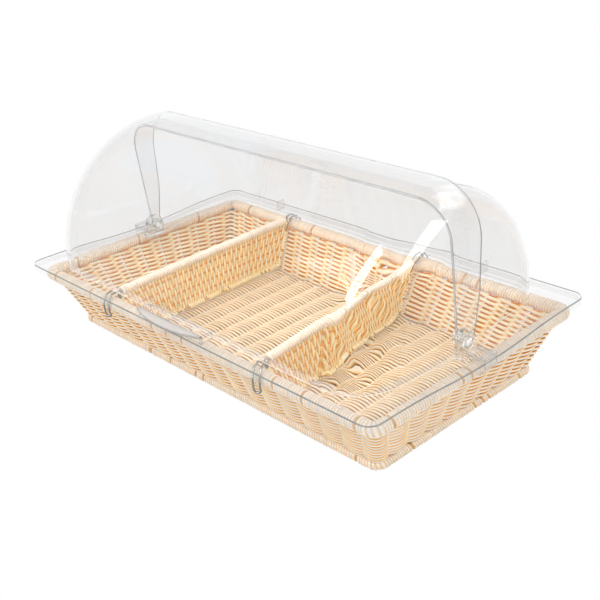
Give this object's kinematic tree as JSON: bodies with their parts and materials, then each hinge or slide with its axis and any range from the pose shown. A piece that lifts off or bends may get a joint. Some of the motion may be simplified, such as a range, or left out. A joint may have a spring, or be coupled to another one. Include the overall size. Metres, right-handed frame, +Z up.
{
  "type": "countertop bread display bin",
  "caption": "Oblong tapered woven basket with lift-out dividers under a clear roll-top cover whose front shell rolls back over the rear one.",
  "frame": {"origin": "middle of the whole object's plan box, on the counter", "axes": "+X along the length, +Y to the rear, away from the finger pull, +Z up"},
  "size_m": [0.542, 0.33, 0.2315],
  "materials": {
    "wire": "plain drawn steel wire",
    "hook_wire": "bright plated wire",
    "stake_reed": "extruded reed, natural straw",
    "binding_reed": "extruded reed, natural straw, satin",
    "weave_reed": "extruded reed, natural straw, satin",
    "clear_sheet": "clear moulded plastic, polished",
    "clear_fittings": "clear moulded plastic, polished"
  },
  "bodies": {
    "basket": {"rim_wire": "wire", "rim_binding": "binding_reed", "base_ring_wire": "wire", "base_ring_binding": "binding_reed", "corner_posts": "wire", "floor_stakes": "stake_reed", "floor_weave": "weave_reed", "front_wall_weave": "weave_reed", "front_wall_stakes": "stake_reed", "back_wall_weave": "weave_reed", "back_wall_stakes": "stake_reed", "left_wall_weave": "weave_reed", "left_wall_stakes": "stake_reed", "right_wall_weave": "weave_reed", "right_wall_stakes": "stake_reed"},
    "left_divider": {"left_divider_frame": "wire", "left_divider_rail_binding": "binding_reed", "left_divider_weave": "weave_reed", "left_divider_stakes": "stake_reed", "left_divider_front_hook": "hook_wire", "left_divider_rear_hook": "hook_wire"},
    "right_divider": {"right_divider_frame": "wire", "right_divider_rail_binding": "binding_reed", "right_divider_weave": "weave_reed", "right_divider_stakes": "stake_reed", "right_divider_front_hook": "hook_wire", "right_divider_rear_hook": "hook_wire"},
    "cover": {"cover_frame": "clear_sheet", "rear_shell": "clear_sheet", "left_pivot_bracket": "clear_fittings", "left_pivot_pin": "clear_fittings", "left_pivot_nut": "clear_fittings", "left_pivot_washers": "clear_fittings", "right_pivot_bracket": "clear_fittings", "right_pivot_pin": "clear_fittings", "right_pivot_nut": "clear_fittings", "right_pivot_washers": "clear_fittings"},
    "front_shell": {"front_shell": "clear_sheet"}
  },
  "joints": [
    {"name": "cover_lift", "type": "slide", "parent": "basket", "child": "cover", "axis": [0, 0, 1], "range_m": [0, 0.15]},
    {"name": "front_shell_roll", "type": "hinge", "parent": "cover", "child": "front_shell", "pos_m": [0, 0.005, 0.088], "axis": [-1, 0, 0], "range_deg": [0, 80]},
    {"name": "left_divider_slide", "type": "slide", "parent": "basket", "child": "left_divider", "axis": [1, 0, 0], "range_m": [-0.07, 0.09]},
    {"name": "right_divider_slide", "type": "slide", "parent": "basket", "child": "right_divider", "axis": [1, 0, 0], "range_m": [-0.1, 0.1]}
  ]
}
